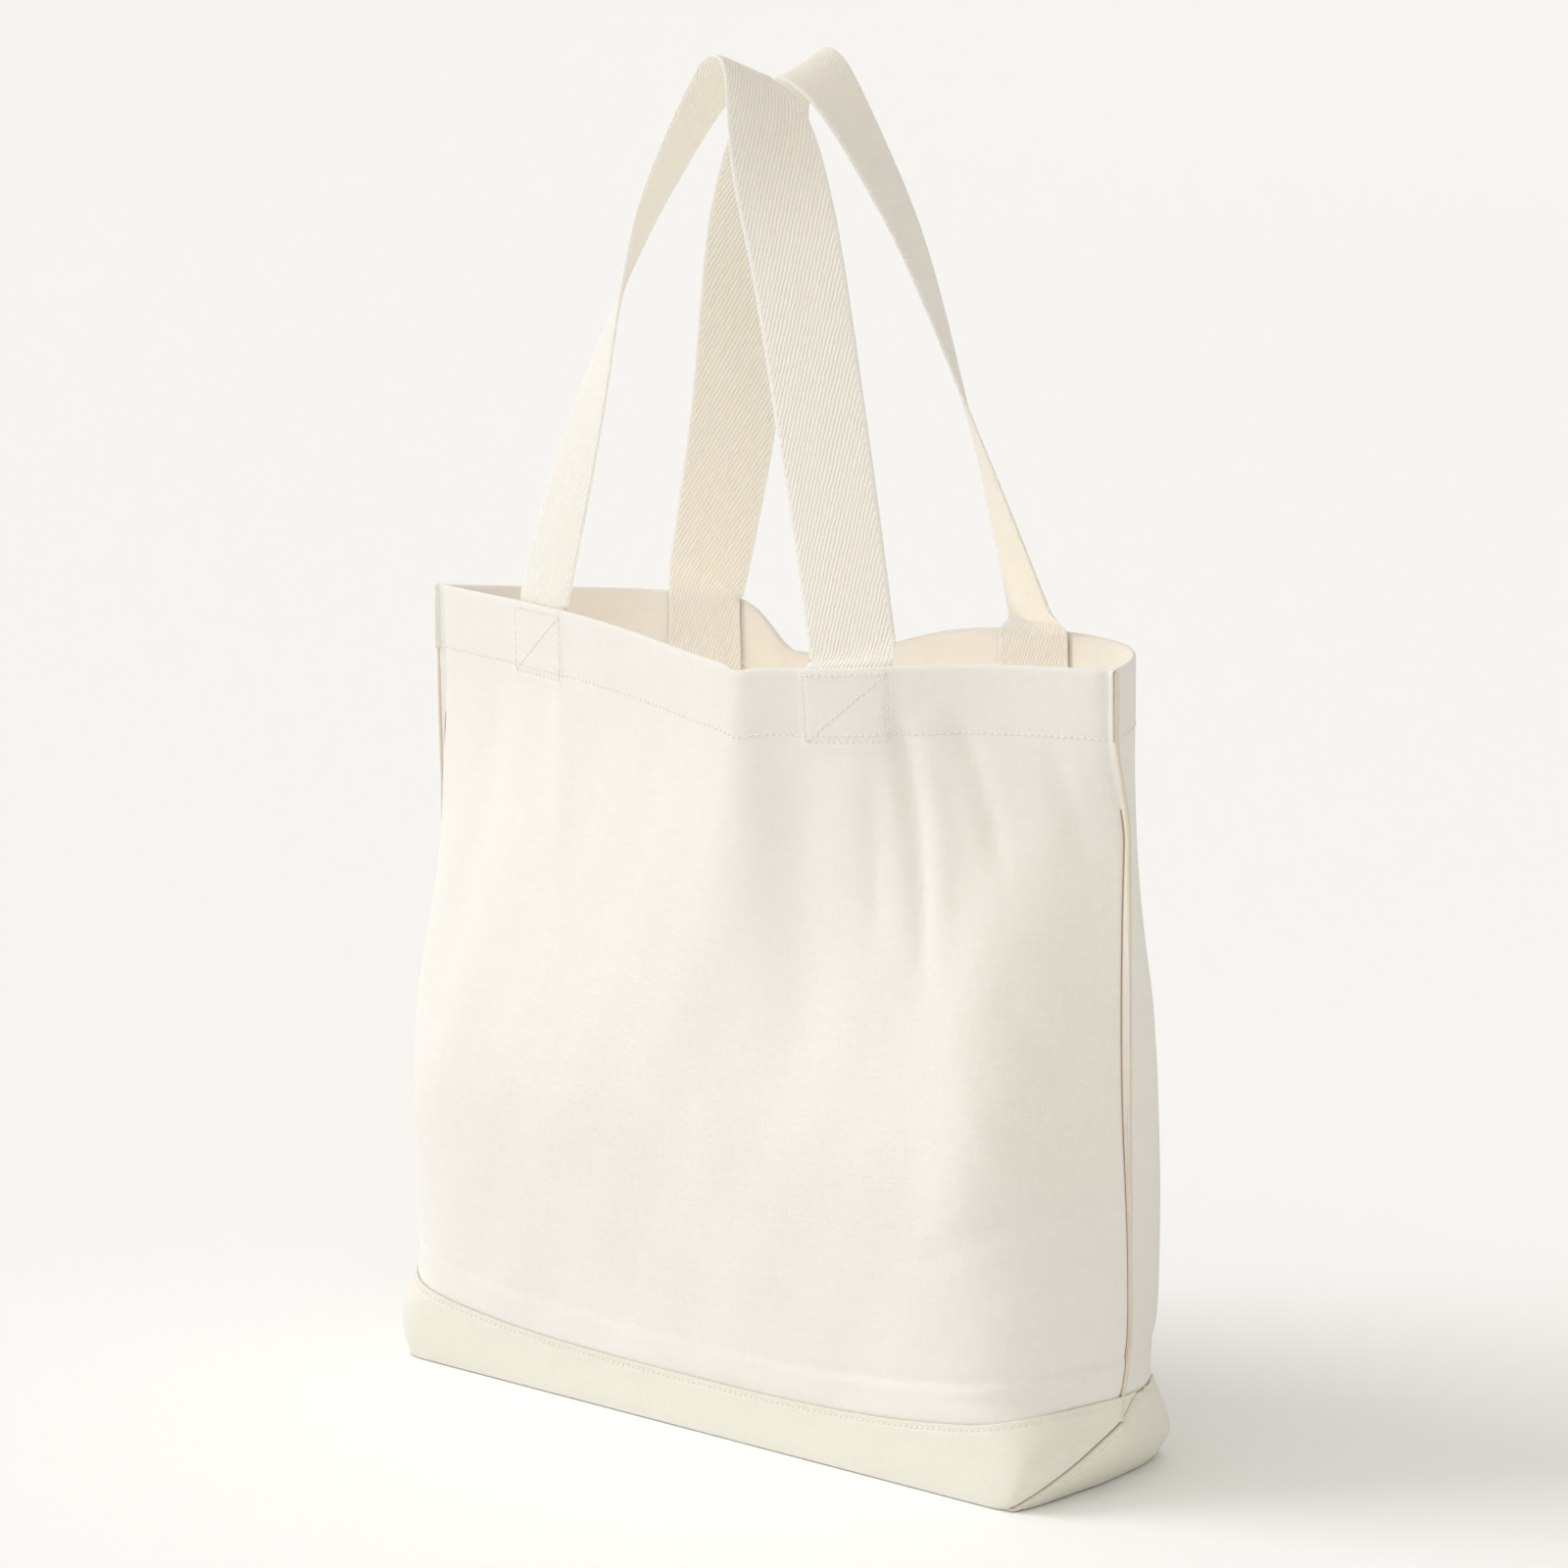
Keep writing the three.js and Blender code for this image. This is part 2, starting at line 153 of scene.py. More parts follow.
@dataclass(frozen=True)
class BagForm:
    """The shape that the cloth of the bag takes, in millimetres."""

    height: float = 355.0
    base_half_width: float = 187.0
    half_width: float = 205.0
    base_half_depth: float = 58.0
    half_depth: float = 63.0
    floor_round: float = 9.0
    seam_shift: float = -8.0
    corner_height: float = 33.0
    tee: float = 8.0
    seam_slope: float = 0.87
    box_top: float = 120.0
    tent_bottom: float = 320.0
    sharp_power: float = 160.0
    bent_power: float = 62.0
    slack_power: float = 34.0
    soft_power: float = 12.0
    soft_height: float = 45.0
    band_middle: float = 25.0
    band_rise: float = 19.0
    hem_depth: float = 30.0
    strap_width: float = 40.0
    box_width: float = 37.0
    box_top_drop: float = 3.0
    box_drop: float = 32.0
    ridge_x: float = 38.0
    ridge_lean: float = 0.0011
    front_legs: tuple[float, float] = (-118.0, 87.0)
    back_legs: tuple[float, float] = (-88.0, 99.0)
    front_folds: tuple[Fold, ...] = (
        Fold(110, 322, 130, 214, 4.5, -2.9),
        Fold(122, 318, 138, 225, 6, 1.7),
        Fold(136, 324, 158, 262, 4.5, -2.3),
        Fold(98, 300, 104, 226, 5, -1.1),
        Fold(60, 322, 72, 170, 17, -3.2),
        Fold(152, 250, 160, 90, 16, 2.4),
        Fold(200, 285, 192, 105, 20, -5.5),
        Fold(176, 316, 190, 268, 6, -1.8),
        Fold(-150, 300, -168, 120, 15, -2.4),
        Fold(-100, 318, -88, 230, 9, 1.6),
        Fold(-60, 90, 60, 75, 14, 1.2),
        Fold(146, 104, 190, 128, 6, -0.9),
        Fold(160, 170, 192, 128, 6, 1.0),
        Fold(168, 214, 196, 176, 5, -1.0),
        Fold(176, 84, 196, 100, 5, 0.9),
    )
    back_folds: tuple[Fold, ...] = (
        Fold(-112, 322, -122, 210, 7, -3.0),
        Fold(-60, 326, -48, 225, 8, 2.4),
        Fold(78, 322, 66, 215, 8, -2.8),
        Fold(124, 322, 140, 200, 9, 2.2),
        Fold(-20, 300, -10, 160, 24, -3.0),
        Fold(-165, 215, -158, 70, 16, 2.5),
        Fold(165, 215, 158, 70, 16, 2.5),
        Fold(-70, 90, 80, 76, 14, 1.2),
    )

    def legs(self, side: Side) -> tuple[float, float]:
        """Middles of the two straps sewn to a side."""
        return self.front_legs if side is Side.FRONT else self.back_legs

    def seam_y(self, z: Array) -> Array:
        """Depth of the side seams at a height."""
        return self.seam_shift * np.asarray(z, float) / self.height

    def seam_slide(self, z: Array) -> Array:
        """How far the right side seam wanders along Y from a straight line."""
        return -1.5 - 8 * ramp(280, 330, z) - 6 * bump_of(np.asarray(z, float) - 34, 22)

    def width_at(self, z: Array) -> Array:
        """Half width of the bag at a height."""
        rise = np.sin(np.pi / 2 * np.clip(np.asarray(z, float) / self.corner_height, 0, 1))
        return self.base_half_width + (self.half_width - self.base_half_width) * rise

    def depth_at(self, z: Array) -> Array:
        """Half depth of the walls at a height.

        Args:
            z: heights.

        Returns:
            Half depth at each, before the mouth's shape comes in.
        """
        under = np.clip(1 - np.asarray(z, float) / self.floor_round, 0, None)
        belly = ramp(0, self.box_top, z)
        return self.base_half_depth + (self.half_depth - self.base_half_depth) * belly - 0.6 * under**2

    def power_at(self, side: Side, u: Array, z: Array) -> Array:
        """Squareness of a wall's plan, most at the foot of the front's right corner.

        Args:
            side: front or back.
            u: places along the wall, -1 to 1.
            z: heights.

        Returns:
            The power of the plan's curve at each place.
        """
        low = np.clip(1 - np.asarray(z, float) / self.soft_height, 0, None)
        right = ramp(-0.2, 0.2, np.asarray(u, float))
        front = self.bent_power + (self.sharp_power - self.bent_power) * right
        sharp = front if side is Side.FRONT else self.slack_power
        return self.soft_power + (sharp - self.soft_power) * low**2

    def rim_plan(self, side: Side, x: Array, z: Array) -> Array:
        """How far the open mouth stands out from the seams, in plan.

        Args:
            side: front or back.
            x: places along the mouth.
            z: heights, because the front's ridge slants down to the left.

        Returns:
            Depth from the side seams, always positive.
        """
        x, z = np.broadcast_arrays(np.asarray(x, float), np.asarray(z, float))
        w = self.half_width
        if side is Side.BACK:
            xs, ys = [-w, -122, -60, 132, 170, w], [0, 54, 64, 70, 50, 0]
            reach = 16.0
            samples = [np.interp(x + k * reach, xs, ys) for k in np.linspace(-1, 1, 9)]
            mean = np.mean(samples, axis=0)
            edge = ramp(w - reach, w, np.abs(x))
            return mean * (1 - edge) + np.interp(x, xs, ys) * edge
        ridge = self.ridge_x - self.ridge_lean * np.clip(self.height - 10 - z, 0, 190) ** 2
        reach = 4 + 16 * (1 - ramp(215, 335, z))
        total = 0.0
        for k in np.linspace(-1, 1, 9):
            p = x + k * reach
            left = 60 * (p + w) / (ridge + w)
            knee = ridge + 0.34 * (w - ridge)
            right = np.where(p < knee, 60 - 17 * (p - ridge) / (knee - ridge), 43 * (w - p) / (w - knee))
            total = total + np.where(p < ridge, left, right)
        return total / 9

    def wall(self, side: Side, u: Array, z: Array) -> tuple[Array, Array]:
        """The smooth wall in plan, before folds.

        Args:
            side: front or back.
            u: -1 at the left side seam to 1 at the right one.
            z: heights.

        Returns:
            x and y of each place.
        """
        share = np.sin(np.pi / 2 * np.asarray(u, float))
        x = self.width_at(z) * share
        box = self.depth_at(z) * (1 - np.abs(share) ** self.power_at(side, u, z))
        tent = self.rim_plan(side, self.half_width * share, z)
        open_share = ramp(self.box_top, self.tent_bottom, z)
        away = box + (tent - box) * open_share
        slid = self.seam_slide(z) * bump_of(away, 15) * (share > 0)
        return x, self.seam_y(z) + slid + side.value * away

    def normal(self, side: Side, u: Array, z: Array) -> tuple[Array, Array]:
        """Outward normal of the wall in plan.

        Args:
            side: front or back.
            u: places along the wall, -1 to 1.
            z: heights.

        Returns:
            x and y of the normal at each place.
        """
        u = np.asarray(u, float)
        x0, y0 = self.wall(side, np.clip(u - 0.006, -1, 1), z)
        x1, y1 = self.wall(side, np.clip(u + 0.006, -1, 1), z)
        length = np.hypot(x1 - x0, y1 - y0)
        return -side.value * (y1 - y0) / length, side.value * (x1 - x0) / length

    def rim_z(self, side: Side, x: Array) -> Array:
        """Height of the rim at a place along it.

        Args:
            side: front or back.
            x: places along the rim.

        Returns:
            Height at each, lower where the mouth dips.
        """
        x = np.asarray(x, float)
        if side is Side.FRONT:
            return self.height - 9 * bump_of(x - 40, 85) - 2.2 * bump_of(x - 37, 7)
        away = np.clip(-38 - x, 0, None) / 19 + np.clip(x + 26, 0, None) / 63
        return self.height - 22.5 * np.exp(-(away**2))

    def band_z(self, x: Array) -> Array:
        """Height of the base band's top edge."""
        return self.band_middle + self.band_rise * np.abs(np.asarray(x, float) / self.half_width) ** 3

    def corner_z(self, y: Array) -> Array:
        """Height of a boxed corner's seam at a depth, lowest at the front corner.

        Args:
            y: depths.

        Returns:
            Height at each, never below the floor.
        """
        y = np.asarray(y, float)
        front = self.corner_height * (1 + (y + self.tee) / (self.base_half_depth - self.tee + 0.5))
        back = self.corner_height + 9.5 * np.clip((y + self.tee) / 14, 0, 1) - 46 * ramp(40, 58, y)
        return np.clip(np.where(y < -self.tee, front, back), 0, None)

    def u_of(self, x: Array) -> Array:
        """The u of a place along X."""
        return np.arcsin(np.clip(np.asarray(x, float) / self.half_width, -1, 1)) / (np.pi / 2)

    def ripple(self, x: Array, z: Array, phase: float) -> Array:
        """Broad unevenness of standing cloth.

        Args:
            x: places along the cloth.
            z: heights.
            phase: which cloth, so that no two match.

        Returns:
            Outward shift at each place.
        """
        return (
            0.7 * np.sin(x / 41 + z / 67 + phase)
            + 0.5 * np.sin(x / 23 - z / 39 + 1.7 * phase)
            + 0.32 * np.sin(x / 13.5 + z / 29 + 2.3 * phase)
            + 0.18 * np.sin(x / 7.3 - z / 16.5 + 0.4 * phase)
        )

    def from_seam(self, side: Side, u: Array, z: Array) -> Array:
        """Distance along Y from the nearer side seam."""
        slid = self.seam_slide(z) * (np.asarray(u, float) > 0)
        return np.abs(self.wall(side, u, z)[1] - self.seam_y(z) - slid)

    def corner_slump(self, side: Side, u: Array, z: Array) -> Array:
        """How far the back corners slump: in above the band's edge, out low down.

        Args:
            side: front or back.
            u: places along the wall, -1 to 1.
            z: heights.

        Returns:
            Outward shift at each place, none at the front.
        """
        if side is Side.FRONT:
            return np.zeros(np.broadcast(u, z).shape)
        x, y = self.wall(side, u, z)
        reach = ramp(10, 36, y) * ramp(150, 185, np.abs(x))
        reach = reach * (1 - ramp(50, 62, y) * (1 - ramp(150, 198, np.abs(x))))
        z = np.asarray(z, float)
        return reach * (2.5 * bump_of(z - 13, 9) - 3.6 * bump_of(z - 47, 15))

    def relief(self, side: Side, u: Array, z: Array) -> Array:
        """How far folds, seams and sewn lines move a body panel out of its smooth wall.

        Args:
            side: front or back.
            u: places along the panel.
            z: their heights.

        Returns:
            Outward shift in millimetres, none at the side seams.
        """
        x = self.half_width * np.sin(np.pi / 2 * np.asarray(u, float))
        drop = self.rim_z(side, x) - z
        calm = 0.35 + 0.65 * ramp(4, 60, drop)
        folds = self.front_folds if side is Side.FRONT else self.back_folds
        shift = self.ripple(x, z, 0.8 if side is Side.FRONT else 3.1) * calm
        for fold in folds:
            shift = shift + fold.press(x, z)
        for leg in self.legs(side):
            inside = ramp(-21.5, -18.5, x - leg) * (1 - ramp(18.5, 21.5, x - leg)) * (1 - ramp(33, 38, drop))
            lines = bump_of(np.abs(x - leg) - self.box_width / 2, 0.9) * (1 - ramp(31, 33, drop))
            low = bump_of(drop - self.box_drop, 0.9) * (1 - ramp(18, 20, np.abs(x - leg)))
            shift = shift + 0.7 * inside - 0.45 * np.maximum(lines, low)
        pucker = 0.75 + 0.25 * np.sin(x / 2.1)
        shift = shift - 0.18 * bump_of(drop - self.hem_depth + 1, 1.0) * pucker
        shift = shift + 0.12 * (1 - ramp(28.5, 31.5, drop))
        above = z - self.band_z(x)
        pressed = 0.45 + 0.55 * ramp(20, 90, x if side is Side.FRONT else -x)
        shift = shift + 1.0 * pressed * (1 - ramp(14, 16.5, above)) - 0.6 * bump_of(above - 18, 2.5) * pressed
        edge = 1 - np.abs(u) ** 24
        beside = bump_of(self.from_seam(side, u, z) - 1.5, 0.7) * (side is Side.FRONT)
        return shift * edge * ramp(-1, 6, above) - 0.9 * beside + self.corner_slump(side, u, z)

    def panel_point(self, side: Side, u: Array, z: Array, out: Array = 0.0) -> Array:
        """A place on a body panel.

        Args:
            side: front or back.
            u: places along the panel.
            z: heights.
            out: distance off the cloth's outer face.

        Returns:
            Points in millimetres, one row each.
        """
        u, z, out = np.broadcast_arrays(np.asarray(u, float), np.asarray(z, float), np.asarray(out, float))
        x, y = self.wall(side, u, z)
        nx, ny = self.normal(side, u, z)
        off = self.relief(side, u, z) + out
        return np.stack([x + nx * off, y + ny * off, z], -1)

    def band_point(self, side: Side, u: Array, z: Array, out: Array = 0.0) -> Array:
        """A place on the base band.

        Args:
            side: front or back.
            u: places along the wall, -1 to 1.
            z: heights.
            out: distance off the cloth's outer face.

        Returns:
            Points in millimetres, one row each.
        """
        u, z, out = np.broadcast_arrays(np.asarray(u, float), np.asarray(z, float), np.asarray(out, float))
        x, y = self.wall(side, u, z)
        nx, ny = self.normal(side, u, z)
        ends = ramp(0.93, 0.972, np.abs(np.sin(np.pi / 2 * u))) * (1 - ramp(-1.5, 0.5, z - self.band_z(x)))
        above = (z - self.corner_z(y)) * self.seam_slope
        flap = 1.0 * ramp(0.2, 1.2, -above) * (1 - ramp(10, 26, -above))
        seam = flap - 1.4 * bump_of(above, 1.0) - 0.5 * bump_of(above + 3.0, 0.9)
        drop = self.band_z(x) - z
        soft = 0.4 * self.ripple(x, z * 1.5, 5.0) * ramp(0, 12, z) * ramp(0, 5, drop)
        line = -0.35 * bump_of(drop - 2.5, 0.8)
        off = 0.6 + ends * seam + (soft + self.corner_slump(side, u, z)) + line + out
        return np.stack([x + nx * off, y + ny * off, z], -1)


# ---- meshes ----


def lay_grid(cols: int, rows: int, points: Array, cloth: Array) -> bmesh.types.BMesh:
    """Lays a grid of faces over a table of points.

    Args:
        cols: faces across.
        rows: faces up.
        points: millimetre points, shaped (rows + 1, cols + 1, 3).
        cloth: flat cloth coordinates in metres, shaped (rows + 1, cols + 1, 2).

    Returns:
        The mesh, in metres, with its cloth coordinates as a UV map.
    """
    bm = bmesh.new()
    bmesh.ops.create_grid(bm, x_segments=cols, y_segments=rows, size=1.0)
    uv = bm.loops.layers.uv.new(CLOTH_UV)
    place: dict[int, tuple[int, int]] = {}
    for vert in bm.verts:
        i = round((vert.co.y + 1) / 2 * rows)
        j = round((vert.co.x + 1) / 2 * cols)
        place[vert.index] = (i, j)
        vert.co = Vector(points[i, j] * MM)
    for face in bm.faces:
        face.smooth = True
        for loop in face.loops:
            loop[uv].uv = cloth[place[loop.vert.index]]
    return bm


def cloth_lengths(points: Array) -> Array:
    """Flat coordinates measured along a grid.

    Args:
        points: millimetre points, shaped (rows + 1, cols + 1, 3).

    Returns:
        Metres across and up at each point, from the middle of each row.
    """
    across = np.linalg.norm(np.diff(points, axis=1), axis=2).cumsum(1)
    across = np.concatenate([np.zeros((len(points), 1)), across], 1)
    across = across - across[:, [across.shape[1] // 2]]
    up = np.linalg.norm(np.diff(points, axis=0), axis=2).cumsum(0)
    up = np.concatenate([np.zeros((1, points.shape[1])), up], 0)
    return np.stack([across, up], -1) * MM


def stand(name: str, data: bpy.types.ID) -> Piece:
    """Puts a mesh, lamp or camera into the scene.

    Args:
        name: the object's name.
        data: what it holds.

    Returns:
        The new object.
    """
    made = bpy.data.objects.new(name, data)
    bpy.context.scene.collection.objects.link(made)
    return made


def close_tube(bm: bmesh.types.BMesh) -> None:
    """Joins a rolled grid along its seam, caps its ends and turns its faces out.

    Args:
        bm: the rolled grid.
    """
    bmesh.ops.remove_doubles(bm, verts=bm.verts, dist=1e-6)
    bmesh.ops.holes_fill(bm, edges=[e for e in bm.edges if e.is_boundary], sides=0)
    bmesh.ops.recalc_face_normals(bm, faces=bm.faces)


def publish(
    bm: bmesh.types.BMesh,
    name: str,
    finish: Finish,
    nodes: Sequence[str],
    body: str | None = "bag",
) -> Piece:
    """Turns a mesh into a piece of the bag.

    Args:
        bm: the mesh, which is freed.
        name: the piece's name.
        finish: its material.
        nodes: CAD nodes it stands for.
        body: the body it moves with, or None to leave it unattached.

    Returns:
        The new object.
    """
    mesh = bpy.data.meshes.new(name)
    bm.to_mesh(mesh)
    bm.free()
    piece = stand(name, mesh)
    mesh.materials.append(finish)
    if body is not None:
        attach(piece, body)
    if nodes:
        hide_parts(*nodes)
    log.info("%s: %d vertices, %d faces", name, len(mesh.vertices), len(mesh.polygons))
    return piece


def thicken(piece: Piece, thickness: float) -> None:
    """Gives a sheet its thickness, inward from the face it was laid on.

    Args:
        piece: the sheet.
        thickness: cloth thickness in millimetres.
    """
    solid = piece.modifiers.new("thickness", "SOLIDIFY")
    solid.thickness = thickness * MM
    solid.offset = -1
    solid.use_even_offset = False


# ---- finishes ----


class Graph:
    """Wires the nodes of one material."""

    def __init__(self, name: str) -> None:
        """Starts a material.

        Args:
            name: the material's name.
        """
        self.material = bpy.data.materials.new(name)
        self.material.use_nodes = True
        self.tree = self.material.node_tree
        self.shader = self.tree.nodes["Principled BSDF"]

    def node(self, kind: str, **settings: object) -> bpy.types.Node:
        """Adds a node.

        Args:
            kind: Blender's name of the node.
            **settings: its properties.

        Returns:
            The new node.
        """
        made = self.tree.nodes.new(kind)
        for key, value in settings.items():
            setattr(made, key, value)
        return made

    def feed(self, socket: Socket, value: object) -> None:
        """Fills a socket.

        Args:
            socket: the input to fill.
            value: a socket to link, or a number.
        """
        if isinstance(value, Socket):
            self.tree.links.new(value, socket)
        else:
            socket.default_value = value

    def math(self, operation: str, a: object, b: object = 0.0, clamp: bool = False) -> Socket:
        """One arithmetic step.

        Args:
            operation: Blender's name of the operation.
            a: first socket or number.
            b: second socket or number.
            clamp: whether the result stays between 0 and 1.

        Returns:
            The result's socket.
        """
        made = self.node("ShaderNodeMath", operation=operation, use_clamp=clamp)
        self.feed(made.inputs[0], a)
        self.feed(made.inputs[1], b)
        return made.outputs[0]

    def times(self, a: object, b: object, clamp: bool = False) -> Socket:
        """One value times another."""
        return self.math("MULTIPLY", a, b, clamp)

    def plus(self, a: object, b: object) -> Socket:
        """One value added to another."""
        return self.math("ADD", a, b)

    def wave(self, phase: object) -> Socket:
        """A smooth wave from 0 to 1, one for each unit of phase."""
        turned = self.math("SINE", self.times(phase, 2 * math.pi))
        return self.plus(self.times(turned, 0.5), 0.5)

    def stretch(self, vector: Socket, scale: tuple[float, float, float]) -> Socket:
        """Scales a vector, for a pattern that runs with the yarn.

        Args:
            vector: the vector's socket.
            scale: how much on each axis.

        Returns:
            The scaled vector's socket.
        """
        made = self.node("ShaderNodeMapping")
        self.feed(made.inputs["Vector"], vector)
        made.inputs["Scale"].default_value = scale
        return made.outputs[0]

    def noise(self, vector: Socket, scale: float, detail: float = 2.0) -> Socket:
        """Cloudy noise from 0 to 1.

        Args:
            vector: socket of the place to read.
            scale: how many clouds to a metre.
            detail: how fine they break up.

        Returns:
            The noise's socket.
        """
        made = self.node("ShaderNodeTexNoise")
        self.feed(made.inputs["Vector"], vector)
        made.inputs["Scale"].default_value = scale
        made.inputs["Detail"].default_value = detail
        return made.outputs[0]

    def blend(self, share: object, a: object, b: object) -> Socket:
        """Mixes two colours.

        Args:
            share: how much of the second shows.
            a: first colour.
            b: second colour.

        Returns:
            The mixed colour's socket.
        """
        made = self.node("ShaderNodeMix", data_type="RGBA")
        self.feed(made.inputs[0], share)
        self.feed(made.inputs[6], a if isinstance(a, Socket) else (*a, 1.0))
        self.feed(made.inputs[7], b if isinstance(b, Socket) else (*b, 1.0))
        return made.outputs[2]

    def flat_cloth(self) -> Socket:
        """The piece's own cloth coordinates, in metres."""
        return self.node("ShaderNodeUVMap", uv_map=CLOTH_UV).outputs[0]

    def dress(
        self,
        colour: object,
        height: object,
        strength: float,
        depth: float,
        roughness: float,
        sheen: float,
        through: float = 0.0,
    ) -> None:
        """Feeds the shader.

        Args:
            colour: base colour socket or value.
            height: socket of the surface's small height, 0 to 1.
            strength: how strongly it shows.
            depth: its full height in metres.
            roughness: the surface's roughness.
            sheen: weight of the soft fibre sheen.
            through: how much light soaks through the cloth.
        """
        bump = self.node("ShaderNodeBump")
        bump.inputs["Strength"].default_value = strength
        bump.inputs["Distance"].default_value = depth
        self.feed(bump.inputs["Height"], height)
        self.feed(self.shader.inputs["Normal"], bump.outputs[0])
        self.feed(self.shader.inputs["Base Color"], colour)
        self.shader.inputs["Roughness"].default_value = roughness
        self.shader.inputs["Specular IOR Level"].default_value = 0.22
        self.shader.inputs["Sheen Weight"].default_value = sheen
        self.shader.inputs["Sheen Roughness"].default_value = 0.5
        self.shader.inputs["Subsurface Weight"].default_value = through
        self.shader.inputs["Subsurface Radius"].default_value = (1.0, 0.82, 0.58)
        self.shader.inputs["Subsurface Scale"].default_value = 0.004


@dataclass(frozen=True)
class CanvasFinish:
    """Plain-woven cotton canvas with slubby yarns."""

    name: str
    light: tuple[float, float, float]
    shade: tuple[float, float, float]
    yarn: float = 0.00085
    relief: float = 0.0003
    through: float = 0.06

    def build(self) -> Finish:
        """Makes the material.

        Returns:
            The canvas material, read from the piece's cloth coordinates.
        """
        g = Graph(self.name)
        cloth = g.flat_cloth()
        split = g.node("ShaderNodeSeparateXYZ")
        g.feed(split.inputs[0], cloth)
        wander = g.times(g.noise(cloth, 90.0, 1.0), 1.3)
        across = g.plus(g.math("DIVIDE", split.outputs[0], self.yarn), wander)
        along = g.plus(g.math("DIVIDE", split.outputs[1], self.yarn), wander)
        over = g.times(g.wave(across), g.wave(along))
        gaps = [g.math("SUBTRACT", 1.0, g.wave(phase)) for phase in (across, along)]
        under = g.times(*gaps)
        weave = g.times(g.plus(over, under), 0.55)
        warp_slub = g.noise(g.stretch(cloth, (1400, 60, 1)), 1.0, 2.0)
        weft_slub = g.noise(g.stretch(cloth, (60, 1400, 1)), 1.0, 2.0)
        slub = g.times(g.plus(warp_slub, weft_slub), 0.5)
        cloud = g.noise(cloth, 14.0, 3.0)
        height = g.plus(weave, g.times(slub, 1.1))
        # slubs and cloud are the yarn's own tone; the weave term darkens the gaps between yarn crossings,
        # painted shade
        yarn_tone_and_weave_shade = g.plus(g.times(slub, 1.5), g.times(weave, 0.35))
        yarn_tone_and_weave_shade = g.plus(yarn_tone_and_weave_shade, g.times(cloud, 0.35))
        share = g.times(g.math("SUBTRACT", yarn_tone_and_weave_shade, 0.45), 0.85, clamp=True)
        g.dress(g.blend(share, self.shade, self.light), height, 0.55, self.relief, 0.92, 0.1, self.through)
        return g.material


@dataclass(frozen=True)
class WebbingFinish:
    """Heavy cotton webbing woven in a steep twill."""

    name: str
    light: tuple[float, float, float]
    # darker, warmer colour of the twill's grooves: painted shade
    groove: tuple[float, float, float]
    pitch: float = 0.0017
    slant: float = 22.0
    pick: float = 0.0011
    selvage: float = 0.0183
    through: float = 0.4

    def build(self) -> Finish:
        """Makes the material.

        Returns:
            The webbing material, read from the strap's cloth coordinates.
        """
        g = Graph(self.name)
        cloth = g.flat_cloth()
        split = g.node("ShaderNodeSeparateXYZ")
        g.feed(split.inputs[0], cloth)
        a = math.radians(self.slant)
        across = g.times(split.outputs[0], math.cos(a) / self.pitch)
        along = g.times(split.outputs[1], -math.sin(a) / self.pitch)
        wander = g.times(g.noise(cloth, 160.0, 1.0), 0.5)
        rib = g.wave(g.plus(g.plus(across, along), wander))
        picks = g.math("DIVIDE", split.outputs[1], self.pick)
        pick = g.wave(g.plus(picks, g.times(across, 0.5)))
        fuzz = g.noise(g.stretch(cloth, (2600, 700, 1)), 1.0, 2.0)
        edge = g.math("GREATER_THAN", g.math("ABSOLUTE", split.outputs[0]), self.selvage)
        pick_face = g.plus(g.times(pick, 0.3), 0.7)
        face = g.times(g.math("POWER", rib, 0.7), pick_face)
        edge_face = g.plus(g.times(pick, 0.5), 0.35)
        body = g.times(face, g.math("SUBTRACT", 1.0, edge))
        height = g.plus(body, g.times(edge_face, edge))
        height = g.plus(height, g.times(fuzz, 0.25))
        # colour follows the twill's height: the grooves darker and warmer, painted shade
        share = g.times(g.math("SUBTRACT", height, 0.12), 1.15, clamp=True)
        g.dress(g.blend(share, self.groove, self.light), height, 0.8, 0.0005, 0.9, 0.1, self.through)
        return g.material


@dataclass(frozen=True)
class ThreadFinish:
    """Twisted sewing thread."""

    name: str
    colour: tuple[float, float, float]
    shade: tuple[float, float, float]

    def build(self) -> Finish:
        """Makes the material.

        Returns:
            The thread material, patterned along object coordinates.
        """
        g = Graph(self.name)
        place = g.node("ShaderNodeTexCoord").outputs["Object"]
        twist = g.noise(place, 2500.0, 1.0)
        cloud = g.noise(place, 120.0, 1.0)
        # darker where the twist is low, painted shade in its recesses; the cloud is the thread's own tone
        share = g.plus(g.times(twist, 0.6), g.times(cloud, 0.4))
        g.dress(g.blend(share, self.shade, self.colour), twist, 0.4, 0.0002, 0.85, 0.1)
        return g.material


# ---- sub-assemblies ----


